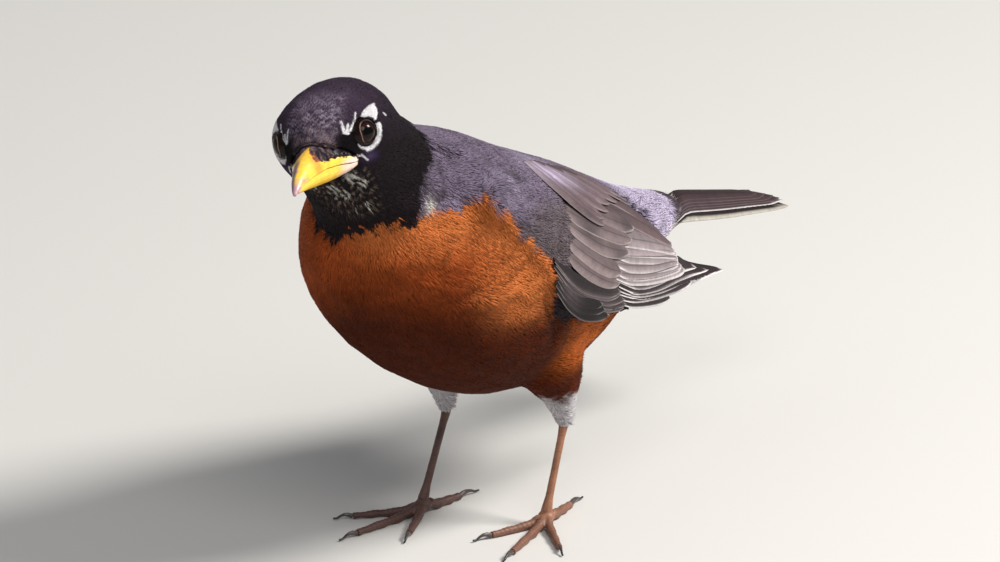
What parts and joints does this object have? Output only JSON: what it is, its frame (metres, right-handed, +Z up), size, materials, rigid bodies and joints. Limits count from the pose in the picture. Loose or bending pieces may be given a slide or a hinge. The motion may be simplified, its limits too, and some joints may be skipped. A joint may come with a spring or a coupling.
{
  "type": "american robin",
  "caption": "Thrush standing on the ground with its head turned to its left: black head, rufous breast, grey back, folded wings and a closed tail.",
  "frame": {"origin": "centre of the footprint of the whole bird's bounding box, on the floor it stands on", "axes": "-Y the way the body faces, +Y towards the tail, +X the bird's left, +Z up"},
  "size_m": [0.0788, 0.2329, 0.1467],
  "materials": {
    "head_feathers": "matt black feathers with a faint cool bloom",
    "neck_feathers": "matt sooty feathers turning to grey on the nape",
    "body_feathers": "soft rufous breast feathers, grey on the back, white at the vent",
    "rump_feathers": "soft pale grey feathers, white below",
    "wing_feathers": "grey-brown feathers with paler edges",
    "thigh_feathers": "rufous feathers with whitish ends at the ankle",
    "tail_feathers": "blackish-brown feathers with thin pale edges",
    "bill": "smooth yellow horn, dusky at the tip",
    "eyes": "wet, very dark brown",
    "legs": "pinkish-brown scaled skin",
    "claws": "dark horn"
  },
  "bodies": {
    "root": {"head": "head_feathers", "neck": "neck_feathers", "trunk": "body_feathers", "rump": "rump_feathers", "wing_left_coverts": "wing_feathers", "wing_left_secondaries": "wing_feathers", "wing_left_primaries": "wing_feathers", "thigh_left": "thigh_feathers", "tarsus_left": "legs", "eye_left": "eyes", "toe_left_inner": "legs", "claw_left_inner": "claws", "toe_left_middle": "legs", "claw_left_middle": "claws", "toe_left_outer": "legs", "claw_left_outer": "claws", "toe_left_hind": "legs", "claw_left_hind": "claws", "wing_right_coverts": "wing_feathers", "wing_right_secondaries": "wing_feathers", "wing_right_primaries": "wing_feathers", "thigh_right": "thigh_feathers", "tarsus_right": "legs", "eye_right": "eyes", "toe_right_inner": "legs", "claw_right_inner": "claws", "toe_right_middle": "legs", "claw_right_middle": "claws", "toe_right_outer": "legs", "claw_right_outer": "claws", "toe_right_hind": "legs", "claw_right_hind": "claws", "tail": "tail_feathers", "bill_upper": "bill", "bill_lower": "bill"}
  },
  "joints": []
}
